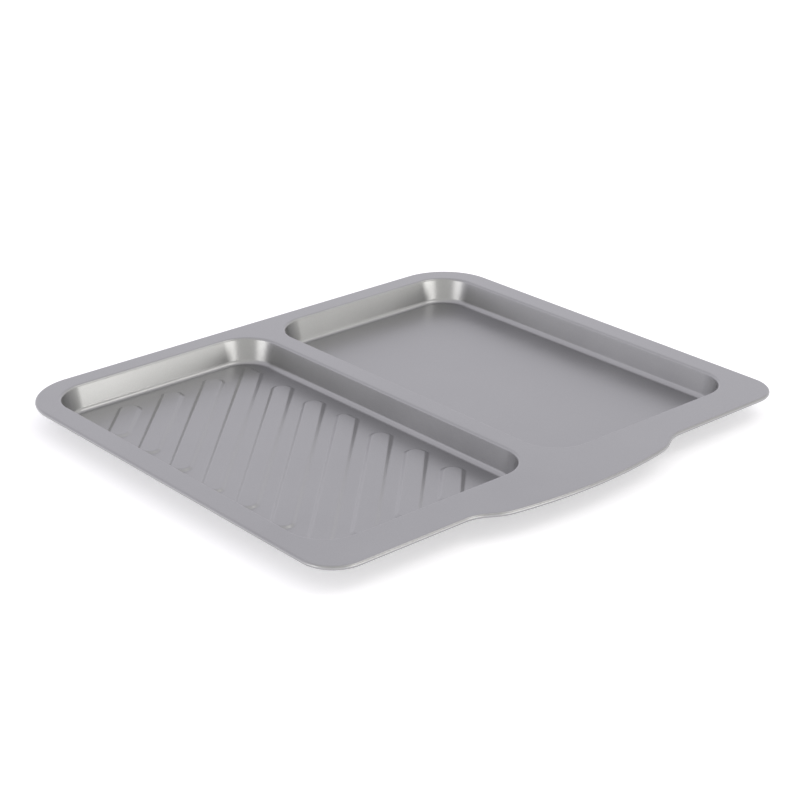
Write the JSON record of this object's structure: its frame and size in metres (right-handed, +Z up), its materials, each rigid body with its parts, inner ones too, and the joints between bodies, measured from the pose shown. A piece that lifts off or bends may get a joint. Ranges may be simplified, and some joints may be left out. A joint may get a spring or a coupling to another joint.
{
  "type": "divided oven tray",
  "caption": "Flat divided oven tray with a ribbed well and a plain well side by side, a wide flange, a bowed handle lobe and a rolled rim.",
  "frame": {"origin": "under the middle of the whole outline, handle included, on the plane that the tray rests on", "axes": "+X along the long side from the ribbed well to the plain well, +Y away from the handle, +Z up"},
  "size_m": [0.4, 0.355, 0.0186],
  "materials": {
    "coated_steel": "satin silver grey non-stick coating",
    "wire_steel": "bare drawn wire"
  },
  "bodies": {
    "root": {"tray_pressing": "coated_steel", "rim_wire": "wire_steel"}
  },
  "joints": []
}
